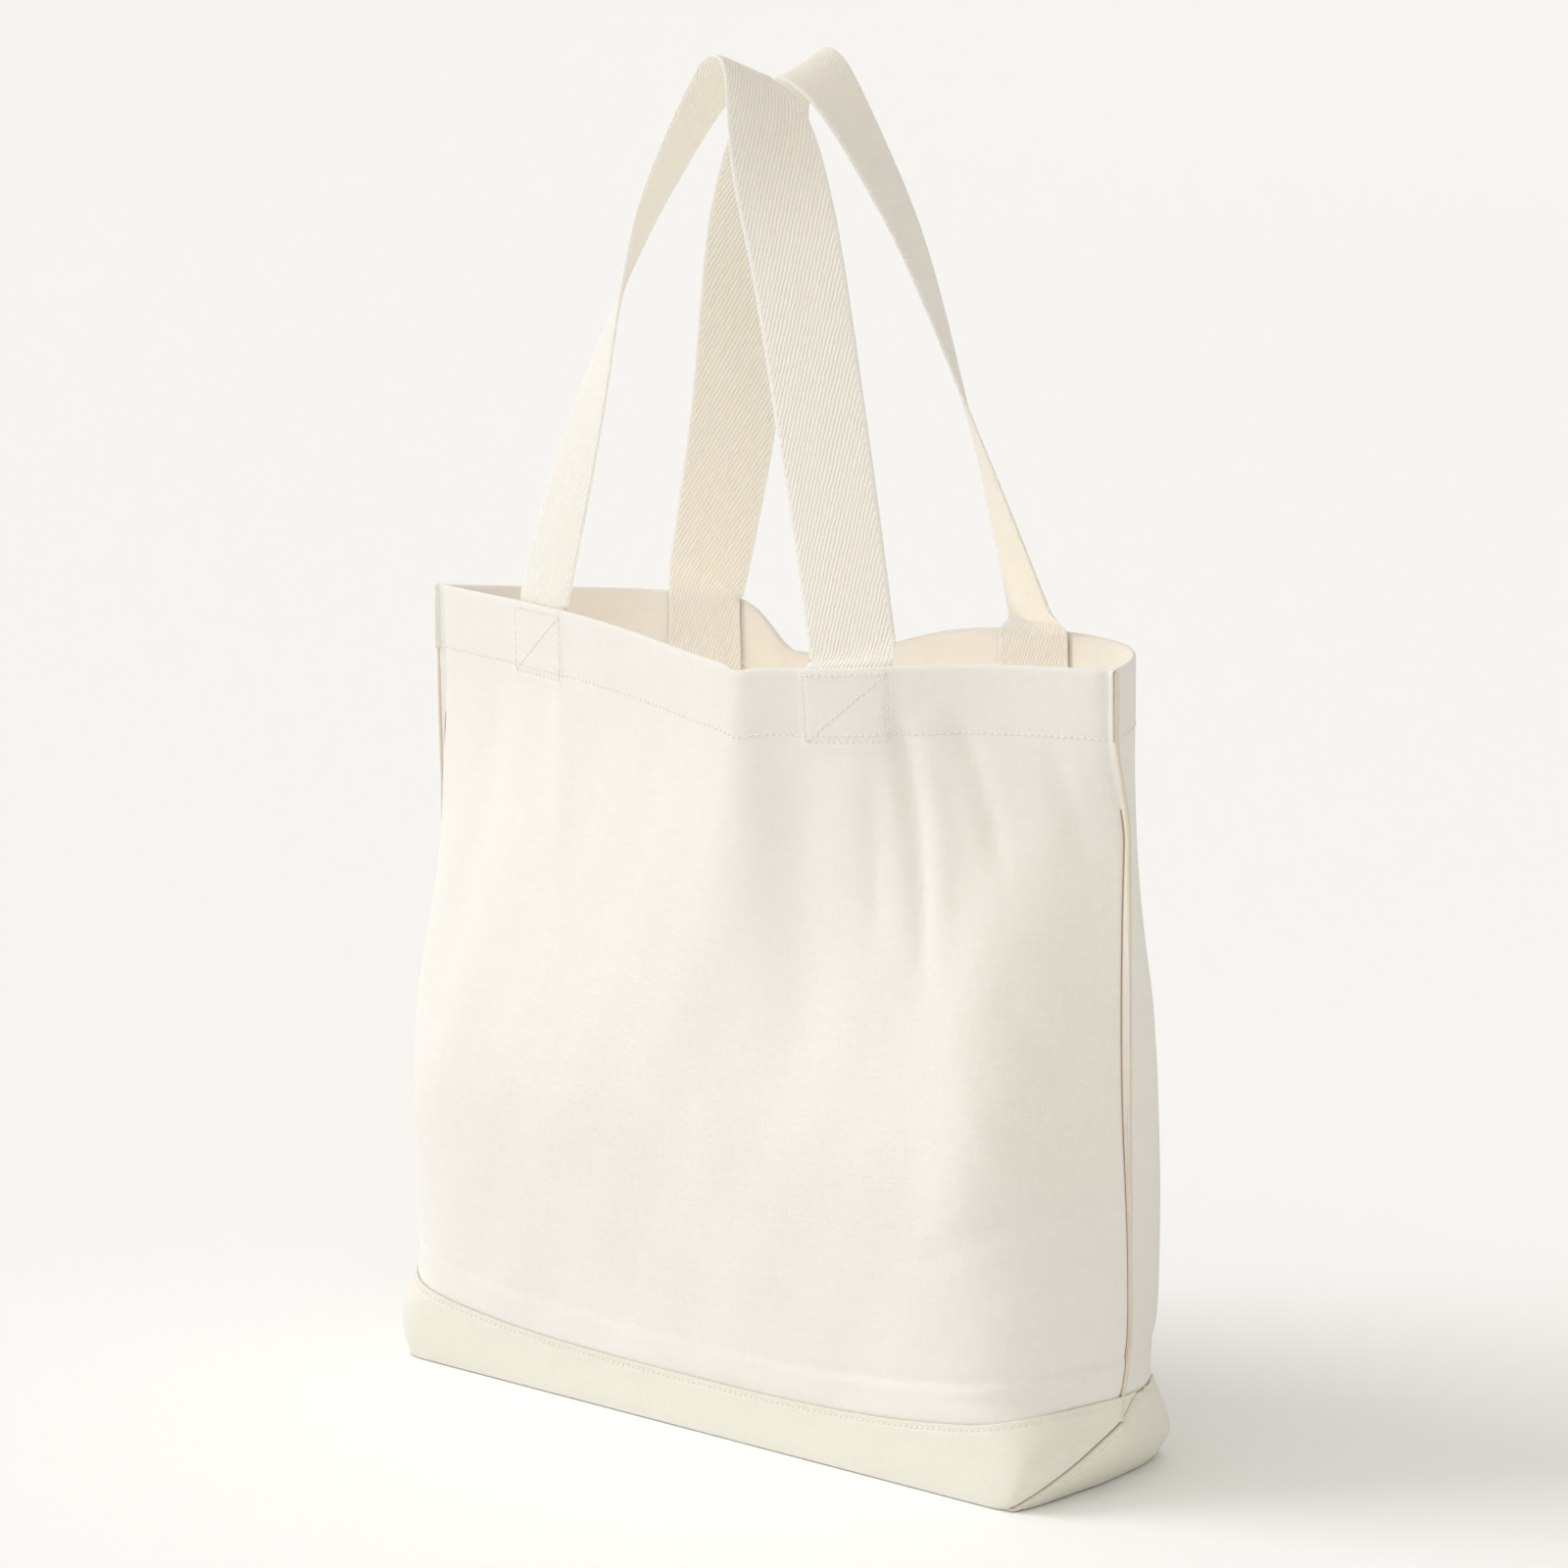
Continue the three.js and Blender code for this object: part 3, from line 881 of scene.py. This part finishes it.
@dataclass
class BodyPanel:
    """One side of the body: cloth from the base band up, folded over at the rim into its hem."""

    form: BagForm
    side: Side
    finish: Finish
    thickness: float = 1.0
    fold_radius: float = 1.15
    tuck: float = 6.0

    def profile(self) -> tuple[Array, Array, Array]:
        """The sheet's path from the band up over the rim.

        Returns:
            For each row: its share of the panel's fall from the rim, its fixed drop below the
            rim in millimetres, and its offset from the outer face.
        """
        r = self.fold_radius
        f = self.form
        fall = f.height - f.band_middle
        drops = spaced(2.0, fall, 2.9, [(3, 2, 1.4), (f.hem_depth, 3.5, 0.8), (fall - 16, 8, 1.5)])[::-1]
        share = np.clip((drops - 60) / (fall - 60), 0, 1)
        turn = np.linspace(0, np.pi, 7)[1:-1]
        inner = spaced(2.0, f.hem_depth, 3.0)
        share = np.concatenate([share, np.zeros(len(turn) + len(inner))])
        drop = np.concatenate([np.minimum(drops, 60), r - r * np.sin(turn), inner])
        off = np.concatenate([np.zeros(len(drops)), r * np.cos(turn) - r, np.full(len(inner), -2 * r)])
        return share, drop, off

    def build(self) -> Piece:
        """Makes the panel and its turned-in hem.

        Returns:
            The piece.
        """
        f, side = self.form, self.side
        lines = [leg + k * f.box_width / 2 for leg in f.legs(side) for k in (-1, 1)]
        xs = spaced(-196, 196, 2.7, [(x, 2.6, 0.9) for x in lines])
        ends = np.concatenate([np.linspace(0.842, 0.98, 22), np.linspace(0.984, 1.0, 9)])
        us = f.u_of(xs)
        us = us[np.abs(us) < 0.83]
        us = np.concatenate([-ends[::-1], us, ends])
        if side is Side.BACK:
            us = us[::-1]
        share, drop, off = self.profile()
        x = f.half_width * np.sin(np.pi / 2 * us)
        rim = f.rim_z(side, x)
        low = f.band_z(x) - self.tuck
        z = rim[None, :] - drop[:, None] - share[:, None] * (rim - 60 - low)[None, :]
        tucked = -1.4 * (1 - ramp(-2.2, 0.3, z - f.band_z(x)[None, :]))
        points = f.panel_point(side, us[None, :], z, off[:, None] + tucked)
        bm = lay_grid(len(us) - 1, len(drop) - 1, points, cloth_lengths(points))
        name = side.name.lower()
        nodes = [f"{name}_panel", f"{name}_rim_hem"]
        piece = publish(bm, f"{name}_panel_cloth", self.finish, nodes)
        thicken(piece, self.thickness)
        return piece


@dataclass
class BaseBand:
    """The contrast cloth that wraps the foot of the bag, boxed at both ends."""

    form: BagForm
    finish: Finish
    thickness: float = 1.0
    floor_lift: float = 0.4

    def ring(self) -> list[tuple[Side, float]]:
        """Places around the bag, front left to right and back again.

        Returns:
            The side and u of each.
        """
        corner = np.concatenate([np.linspace(0.76, 0.98, 110), np.linspace(0.983, 1, 7)])
        u = np.concatenate([-corner[::-1], np.linspace(-0.75, 0.75, 170), corner])
        return [(Side.FRONT, v) for v in u[:-1]] + [(Side.BACK, v) for v in u[:0:-1]]

    def build(self) -> Piece:
        """Makes the band with its flat underside.

        Returns:
            The piece.
        """
        f = self.form
        ring = self.ring()
        front = np.array([s is Side.FRONT for s, _ in ring] + [True])
        u = np.array([v for _, v in ring] + [ring[0][1]])
        x = f.half_width * np.sin(np.pi / 2 * u)
        heights = np.concatenate([[0, 0.6, 1.5, 3, 4.5, 6], np.linspace(7, 44, 46)])
        wall_rows = []
        for h in heights:
            z = self.floor_lift + (f.band_z(x) - self.floor_lift) * h / 44
            row = np.where(front[:, None], f.band_point(Side.FRONT, u, z), f.band_point(Side.BACK, u, z))
            wall_rows.append(row)
        floor = wall_rows[0]
        shrink = [0.0, 0.15, 0.3, 0.45, 0.6, 0.72, 0.82, 0.9, 0.96, 0.99]
        floor_rows = [floor * np.array([k, k, 1.0]) for k in shrink]
        points = np.stack(floor_rows + wall_rows)
        points[: len(floor_rows), :, 2] = self.floor_lift
        arc = np.linalg.norm(np.diff(points[-1], axis=0), axis=1).cumsum()
        arc = np.concatenate([[0], arc])
        cloth = np.zeros((*points.shape[:2], 2))
        cloth[..., 0] = arc[None, :] * MM
        cloth[..., 1] = points[..., 2] * MM
        cloth[: len(floor_rows)] = points[: len(floor_rows), :, :2] * MM
        cols, rows = points.shape[1] - 1, points.shape[0] - 1
        bm = lay_grid(cols, rows, points, cloth)
        bmesh.ops.remove_doubles(bm, verts=bm.verts, dist=1e-6)
        piece = publish(bm, "base_band_cloth", self.finish, ["base_panel"])
        thicken(piece, self.thickness)
        return piece


@dataclass(frozen=True)
class StrapPath:
    """Middle line of a handle: x, y, z and the turn of its width from +X in degrees."""

    stations: tuple[tuple[float, float, float, float], ...]
    tilt: float
    knots: tuple[float, ...] = (0, 0.14, 0.32, 0.5, 0.68, 0.86, 1)
    tilt_spread: float = 0.12

    def read(self, t: Array) -> Array:
        """Stations between the given ones.

        Args:
            t: shares of the way along the loop.

        Returns:
            x, y, z and turn at each share.
        """
        knots, values = np.array(self.knots), np.array(self.stations, float)
        slopes = np.empty_like(values)
        slopes[1:-1] = (values[2:] - values[:-2]) / (knots[2:] - knots[:-2])[:, None]
        slopes[0] = (values[1] - values[0]) / (knots[1] - knots[0])
        slopes[-1] = (values[-1] - values[-2]) / (knots[-1] - knots[-2])
        i = np.clip(np.searchsorted(knots, t) - 1, 0, len(knots) - 2)
        span = (knots[i + 1] - knots[i])[:, None]
        s = (t[:, None] - knots[i][:, None]) / span
        rise = 3 * s**2 - 2 * s**3
        curve = (1 - rise) * values[i] + rise * values[i + 1]
        return curve + span * ((s**3 - 2 * s**2 + s) * slopes[i] + (s**3 - s**2) * slopes[i + 1])


@dataclass
class Handle:
    """One webbing handle, from its sewn tail up over the loop and down to the other tail."""

    form: BagForm
    side: Side
    path: StrapPath
    finish: Finish
    thickness: float = 1.9
    tail: float = 36.0
    inner_face: float = -2.6
    around: int = 28
    along: int = 300
    tail_rows: int = 20
    bend: float = 0.035

    def section(self) -> tuple[Array, Array]:
        """Rounded outline of the webbing.

        Returns:
            Shares of its half width and of its half thickness.
        """
        a = np.linspace(0, 2 * np.pi, self.around + 1)
        c, s = np.cos(a), np.sin(a)
        across = np.sign(c) * np.abs(c) ** 0.75
        return across, np.sign(s) * np.abs(s) ** 0.28

    def build(self) -> Piece:
        """Makes the strap and presses its sewn ends onto the hem.

        Returns:
            The piece.
        """
        f, side = self.form, self.side
        rim = [float(f.rim_z(side, leg)) for leg in f.legs(side)]
        t = np.linspace(0, 1, self.along + 1 - 2 * self.tail_rows)
        loop = self.path.read(t)
        down = np.linspace(-self.tail, -1.5, self.tail_rows)
        ends = []
        for k in (0, -1):
            rows = np.repeat(loop[k][None, :], self.tail_rows, 0)
            rows[:, 2] = min(rim[k], loop[k, 2]) + down
            ends.append(rows)
        rows = np.concatenate([ends[0], loop, ends[1][::-1]])
        middle, turn = rows[:, :3], np.radians(rows[:, 3])
        lean = np.zeros(len(rows))
        top = bump_of(t - 0.5, self.path.tilt_spread)
        lean[self.tail_rows : -self.tail_rows] = np.radians(self.path.tilt) * top
        tangent = np.gradient(middle, axis=0)
        tangent /= np.linalg.norm(tangent, axis=1)[:, None]
        width = np.stack([np.cos(turn) * np.cos(lean), np.sin(turn) * np.cos(lean), np.sin(lean)], 1)
        width -= (width * tangent).sum(1)[:, None] * tangent
        width /= np.linalg.norm(width, axis=1)[:, None]
        out = np.cross(width, tangent)
        across, through = self.section()
        half = f.strap_width / 2 * across
        rise = self.thickness / 2 * through
        cup = -0.5 * (across**2)
        lift = (rise + cup)[None, :, None] * out[:, None, :]
        free = middle[:, None, :] + half[None, :, None] * width[:, None, :] + lift
        run = np.concatenate([[0], np.linalg.norm(np.diff(middle, axis=0), axis=1).cumsum()])
        points = self.hug(free, rows, half, rise)
        cloth = np.stack(np.broadcast_arrays(half[None, :], run[:, None]), -1) * MM
        bm = lay_grid(self.around, len(rows) - 1, points, cloth)
        close_tube(bm)
        name = side.name.lower()
        nodes = [f"{name}_handle", f"{name}_left_handle_tail", f"{name}_right_handle_tail"]
        piece = publish(bm, f"{name}_handle_webbing", self.finish, nodes, body=None)
        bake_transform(piece)
        return piece

    def hug(self, free: Array, rows: Array, half: Array, rise: Array) -> Array:
        """Presses the strap's sewn ends onto the inside of the hem.

        Args:
            free: points of the strap as it would stand alone.
            rows: stations of the strap's middle line.
            half: how far each outline point lies across the strap.
            rise: how far it lies through the webbing.

        Returns:
            The strap's points, the ends laid on the cloth.
        """
        f, side = self.form, self.side
        made = free.copy()
        count = len(rows)
        for k, first in ((0, True), (1, False)):
            leg = f.legs(side)[k]
            span = slice(0, count // 3) if first else slice(2 * count // 3, count)
            z = rows[span, 2]
            facing = math.copysign(1.0, math.cos(math.radians(float(rows[0 if first else -1, 3]))))
            x = leg + facing * half[None, :] * math.cos(math.radians(18))
            outward = facing * rise if side is Side.FRONT else -facing * rise
            rim = f.rim_z(side, x)
            off = self.inner_face - self.thickness / 2 + outward[None, :]
            laid = f.panel_point(side, f.u_of(x), np.minimum(z[:, None], rim), off)
            laid[..., 2] = np.broadcast_to(z[:, None], laid.shape[:2])
            weight = (1 - ramp(-2, 8, z[:, None] - rim))[..., None]
            made[span] = made[span] * (1 - weight) + laid * weight
        return made


@dataclass
class StitchRows:
    """Rows of lockstitch, each stitch its own small loop of thread."""

    form: BagForm
    finish: Finish
    stitch: float = 3.1
    fill: float = 0.8
    width: float = 0.42
    height: float = 0.32
    lift: float = 0.12

    def along(self, points: Array, outward: Array) -> list[Matrix]:
        """Places for the stitches of one row.

        Args:
            points: a close run of millimetre points on the cloth.
            outward: the cloth's outward direction at each.

        Returns:
            One placing matrix for each stitch, in metres.
        """
        run = np.concatenate([[0], np.linalg.norm(np.diff(points, axis=0), axis=1).cumsum()])
        count = max(2, round(run[-1] / self.stitch))
        made = []
        for middle in (np.arange(count) + 0.5) / count * run[-1]:
            ends = [middle - self.stitch * self.fill / 2, middle + self.stitch * self.fill / 2]
            a, b = (np.array([np.interp(e, run, points[:, k]) for k in range(3)]) for e in ends)
            centre = (a + b) / 2
            ahead = Vector(b - a).normalized()
            up = Vector([np.interp(middle, run, outward[:, k]) for k in range(3)]).normalized()
            side = up.cross(ahead).normalized()
            up = ahead.cross(side)
            size = (self.stitch * self.fill / 2, self.width, self.height)
            axes = Matrix((ahead * size[0], side * size[1], up * size[2])).transposed().to_4x4()
            made.append(Matrix.Translation(Vector(centre * MM)) @ Matrix.Scale(MM, 4) @ axes)
        return made

    def sew(self, name: str, places: Sequence[Matrix], node: str) -> Piece:
        """Makes one piece of thread.

        Args:
            name: the piece's name.
            places: placing matrix of each stitch.
            node: the CAD node it stands for.

        Returns:
            The piece.
        """
        bm = bmesh.new()
        for place in places:
            bmesh.ops.create_uvsphere(bm, u_segments=6, v_segments=4, radius=1.0, matrix=place)
        for face in bm.faces:
            face.smooth = True
        bmesh.ops.recalc_face_normals(bm, faces=bm.faces)
        return publish(bm, name, self.finish, [node])

    def on_panel(self, side: Side, x: Array, drop: Array) -> list[Matrix]:
        """Stitches along a line of a body panel.

        Args:
            side: front or back.
            x: places along it.
            drop: their drops below the rim.

        Returns:
            One placing matrix for each stitch.
        """
        f = self.form
        u = f.u_of(x)
        z = f.rim_z(side, x) - drop
        points = f.panel_point(side, u, z, self.lift)
        nx, ny = f.normal(side, u, z)
        return self.along(points, np.stack([nx, ny, np.zeros_like(nx)], 1))

    def build(self) -> None:
        """Sews the hems, the band's topstitch and the strap boxes."""
        f = self.form
        xs = np.linspace(-201, 201, 500)
        for side in Side:
            name = side.name.lower()
            hem = self.on_panel(side, xs, np.full(len(xs), f.hem_depth - 1))
            self.sew(f"{name}_hem_thread", hem, f"{name}_hem_stitch")
            z = f.band_z(xs) - 2.5
            u = f.u_of(xs)
            nx, ny = f.normal(side, u, z)
            line = self.along(f.band_point(side, u, z, 0.1), np.stack([nx, ny, 0 * nx], 1))
            self.sew(f"{name}_base_thread", line, f"{name}_base_topstitch")
            for place, leg in zip(("left", "right"), f.legs(side)):
                self.sew(f"{name}_{place}_box_thread", self.box(side, leg), f"{name}_{place}_box_stitch")

    def box(self, side: Side, leg: float) -> list[Matrix]:
        """The stitched rectangle and diagonal over one strap end.

        Args:
            side: front or back.
            leg: the strap's middle along X.

        Returns:
            One placing matrix for each stitch.
        """
        f = self.form
        half, top, low = f.box_width / 2, f.box_top_drop, f.box_drop
        corners = [(-half, top), (half, top), (half, low), (-half, low), (-half, top)]
        lines = list(zip(corners, corners[1:])) + [((-half, low), (half, top))]
        made = []
        for (x0, d0), (x1, d1) in lines:
            made += self.on_panel(side, leg + np.linspace(x0, x1, 60), np.linspace(d0, d1, 60))
        return made


@dataclass
class EndSeams:
    """The side seam and the boxed corner seam of one end, each with a dark cord of painted shade in the
    groove beside it.
    """

    form: BagForm
    end: End
    seam_fold_shaded_canvas: Finish
    # colour of the dark cords: painted shade in the grooves beside the seams
    shade_cord_paint: Finish
    stitches: StitchRows
    fold_radius: float = 0.95
    shade_cord_radius: float = 0.42
    corner_radius: float = 0.5
    shade_cord_top: float = 296.0
    shade_cord_depth: float = 14.0

    def cord(
        self, name: str, line: Array, radius: float, finish: Finish, nodes: Sequence[str]
    ) -> Piece:
        """Makes a thin round cord along a line, used for the rolled fold and for the dark cords of painted
        shade.

        Args:
            name: the piece's name.
            line: millimetre points along it.
            radius: half its thickness in millimetres.
            finish: its material.
            nodes: CAD nodes it stands for.

        Returns:
            The piece.
        """
        ahead = np.gradient(line, axis=0)
        ahead /= np.linalg.norm(ahead, axis=1)[:, None]
        first = np.cross(ahead, [1.0, 0.0, 0.0])
        first /= np.linalg.norm(first, axis=1)[:, None]
        second = np.cross(ahead, first)
        a = np.linspace(0, 2 * np.pi, 13)
        ring = np.cos(a)[None, :, None] * first[:, None, :] + np.sin(a)[None, :, None] * second[:, None, :]
        points = line[:, None, :] + radius * ring
        bm = lay_grid(12, len(line) - 1, points, cloth_lengths(points))
        close_tube(bm)
        return publish(bm, name, finish, nodes)

    def side_seam(self) -> None:
        """The rolled fold that runs down the side, and a dark cord beside it: painted shade in the groove
        next to the fold.
        """
        f, sign = self.form, self.end.value
        name = self.end.name.lower()
        z = np.linspace(f.corner_height, f.height - 1.0, 170)
        y = f.seam_y(z) + f.seam_slide(z) * (sign > 0)
        x = sign * (f.width_at(z) - 0.25 + 0.15 * np.sin(z / 9))
        line = np.stack([x, y, z], 1)
        # the fold is the off-white canvas's own edge; its darker warm tan is painted shade
        self.cord(f"{name}_side_fold", line, self.fold_radius, self.seam_fold_shaded_canvas, [f"{name}_side_seam"])
        z = z[z < self.shade_cord_top]
        shares = np.linspace(0.84, 1, 400)
        away = f.from_seam(Side.FRONT, sign * shares[None, :], z[:, None])
        u = sign * shares[np.argmin(np.abs(away - 1.5), axis=1)]
        line = f.panel_point(Side.FRONT, u, z, -0.1)
        # a dark cord of painted shade, laid in the groove beside the fold
        self.cord(f"{name}_side_shade_cord", line, self.shade_cord_radius, self.shade_cord_paint, [])

    def corner_path(self, below: float, out: float) -> tuple[Array, Array]:
        """Places along the boxed corner's seam.

        Args:
            below: distance under the seam, in millimetres.
            out: distance off the band's outer face.

        Returns:
            Points on the band and the outward direction at each.
        """
        f, sign = self.form, self.end.value
        points, outs = [], []
        outer = np.linspace(0.86, 1, 60)
        for side, shares in ((Side.FRONT, outer), (Side.BACK, np.linspace(1, 0.86, 60))):
            u = sign * shares
            z = np.full(len(u), 10.0)
            for _ in range(12):
                _, y = f.wall(side, u, z)
                z = np.clip(f.corner_z(y) - below / f.seam_slope, 1.0, None)
            points.append(f.band_point(side, u, z, out))
            nx, ny = f.normal(side, u, z)
            outs.append(np.stack([nx, ny, -0.4 * np.ones_like(nx)], 1))
        return np.concatenate([points[0], points[1][1:]]), np.concatenate([outs[0], outs[1][1:]])

    def corner_seam(self) -> Piece:
        """The row of stitches beside the boxed corner's seam, and a dark cord of painted shade in the seam's
        groove.

        Returns:
            The piece.
        """
        name = self.end.name.lower()
        groove, _ = self.corner_path(0.0, 0.1)
        groove = groove[groove[:, 1] < self.shade_cord_depth]
        # a dark cord of painted shade, laid in the corner seam's groove
        self.cord(f"{name}_corner_shade_cord", groove, self.corner_radius, self.shade_cord_paint, [])
        points, outs = self.corner_path(3.0, 0.1)
        row = self.stitches.along(points, outs)
        return self.stitches.sew(f"{name}_corner_thread", row, f"{name}_corner_seam")


def direction(azimuth: float, elevation: float) -> Vector:
    """The way toward a camera or light, from the azimuth and height it stands at.

    Args:
        azimuth: degrees, 0 in front of the bag and 90 to its right.
        elevation: degrees above the floor.

    Returns:
        A unit vector.
    """
    a, e = math.radians(azimuth), math.radians(elevation)
    return Vector((math.sin(a) * math.cos(e), -math.cos(a) * math.cos(e), math.sin(e)))


@dataclass(frozen=True)
class Studio:
    """Camera, pale floor and soft light."""

    azimuth: float = 42.0
    elevation: float = 9.5
    distance: float = 2.307
    target: tuple[float, float, float] = (0.005, 0.0, 0.283)
    lens: float = 120.0
    floor_half: float = 60.0
    flat_radius: float = 9.0
    floor_rise: float = 0.35
    floor_ease: float = 6.0

    def camera(self) -> None:
        """Sets the camera."""
        back = direction(self.azimuth, self.elevation)
        data = bpy.data.cameras.new("view")
        data.lens = self.lens
        data.sensor_width = 36.0
        camera = stand("view", data)
        camera.location = Vector(self.target) + back * self.distance
        camera.rotation_mode = "QUATERNION"
        camera.rotation_quaternion = (-back).to_track_quat("-Z", "Y")
        bpy.context.scene.camera = camera

    def sun(
        self,
        name: str,
        azimuth: float,
        elevation: float,
        strength: float,
        colour: tuple[float, float, float],
        angle: float,
    ) -> None:
        """Adds one broad distant light.

        Args:
            name: the light's name.
            azimuth: where it stands, in degrees, by the camera's rule.
            elevation: its height above the floor, in degrees.
            strength: its strength.
            colour: its colour.
            angle: how broad it is, in degrees.
        """
        back = direction(azimuth, elevation)
        data = bpy.data.lights.new(name, "SUN")
        data.energy = strength
        data.color = colour
        data.angle = math.radians(angle)
        lamp = stand(name, data)
        lamp.rotation_mode = "QUATERNION"
        lamp.rotation_quaternion = (-back).to_track_quat("-Z", "Y")

    def glow(self) -> None:
        """Adds a warm lamp in the bag, in place of light that soaks through the cloth."""
        data = bpy.data.lights.new("inside_glow", "AREA")
        data.shape = "RECTANGLE"
        data.size, data.size_y = 0.33, 0.075
        data.energy = 0.34
        data.color = (1.0, 0.92, 0.8)
        lamp = stand("inside_glow", data)
        lamp.location = (0.0, 0.0, 0.13)
        lamp.rotation_euler = (math.pi, 0.0, 0.0)
        lamp.visible_camera = False

    def build(self) -> None:
        """Makes the floor, the lights and the camera."""
        bm = bmesh.new()
        bmesh.ops.create_grid(bm, x_segments=80, y_segments=80, size=self.floor_half)
        for vert in bm.verts:
            far = vert.co.xy.length
            vert.co.z = self.floor_rise * max(0.0, far - self.flat_radius) ** 2 / (far + self.floor_ease)
        for face in bm.faces:
            face.smooth = True
        mesh = bpy.data.meshes.new("floor")
        bmesh.ops.translate(bm, verts=bm.verts, vec=(0, 0, -0.0001))
        bm.to_mesh(mesh)
        bm.free()
        floor = stand("floor", mesh)
        paint = bpy.data.materials.new("pale_floor")
        paint.use_nodes = True
        shader = paint.node_tree.nodes["Principled BSDF"]
        shader.inputs["Base Color"].default_value = (0.965, 0.975, 0.985, 1)
        shader.inputs["Roughness"].default_value = 0.9
        mesh.materials.append(paint)
        world = bpy.data.worlds.new("soft_room")
        bpy.context.scene.world = world
        world.use_nodes = True
        ground = world.node_tree.nodes["Background"]
        ground.inputs["Color"].default_value = (1.0, 0.96, 0.88, 1)
        ground.inputs["Strength"].default_value = 0.47
        self.sun("window", -54, 36, 1.36, (0.92, 0.95, 1.0), 36)
        self.sun("overhead", 0, 72, 0.8, (1.0, 0.96, 0.88), 70)
        self.glow()
        bpy.context.scene.view_settings.view_transform = "Standard"
        self.camera()


def main() -> None:
    """Builds the bag piece by piece."""
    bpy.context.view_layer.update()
    form = BagForm()
    Studio().build()
    canvas = CanvasFinish("off_white_canvas", (0.91, 0.888, 0.848), (0.82, 0.784, 0.722)).build()
    band = CanvasFinish("cream_canvas", (0.89, 0.87, 0.785), (0.79, 0.765, 0.66)).build()
    webbing = WebbingFinish("twill_webbing", (0.95, 0.93, 0.885), (0.80, 0.745, 0.655)).build()
    thread = ThreadFinish("sewing_thread", (0.93, 0.90, 0.84), (0.83, 0.79, 0.70)).build()
    # seam fold: the off-white canvas's own edge, its darker warm tan painted shade
    seam_fold_shaded_canvas = CanvasFinish("seam_fold_canvas", (0.86, 0.80, 0.67), (0.70, 0.60, 0.45)).build()
    # colour of the dark cords: painted shade in the grooves beside the side and corner seams
    shade_cord_paint = CanvasFinish("painted_shade_cord", (0.58, 0.43, 0.27), (0.36, 0.24, 0.13)).build()
    BaseBand(form, band).build()
    for side in Side:
        BodyPanel(form, side, canvas).build()
    front = StrapPath(
        (
            (-118, -26, 355, -14), (-92, -26, 435, -25), (-50, -23, 540, -64), (-1, -20.5, 597, -80),
            (33, -29, 536, -142), (66, -41, 434, -157), (87, -47, 351, -162),
        ),
        16,
    )
    back = StrapPath(
        (
            (-88, 48, 353, 12), (-66, 44, 435, 29), (-39, 31, 537, 52), (-7, 25, 596, 102),
            (49, 24, 534, 112), (83, 39, 435, 136), (99, 58, 355, 160),
        ),
        20,
    )
    Handle(form, Side.FRONT, front, webbing).build()
    Handle(form, Side.BACK, back, webbing).build()
    stitches = StitchRows(form, thread)
    stitches.build()
    for end in End:
        seams = EndSeams(form, end, seam_fold_shaded_canvas, shade_cord_paint, stitches)
        seams.side_seam()
        seams.corner_seam()


if __name__ == "__main__":
    main()
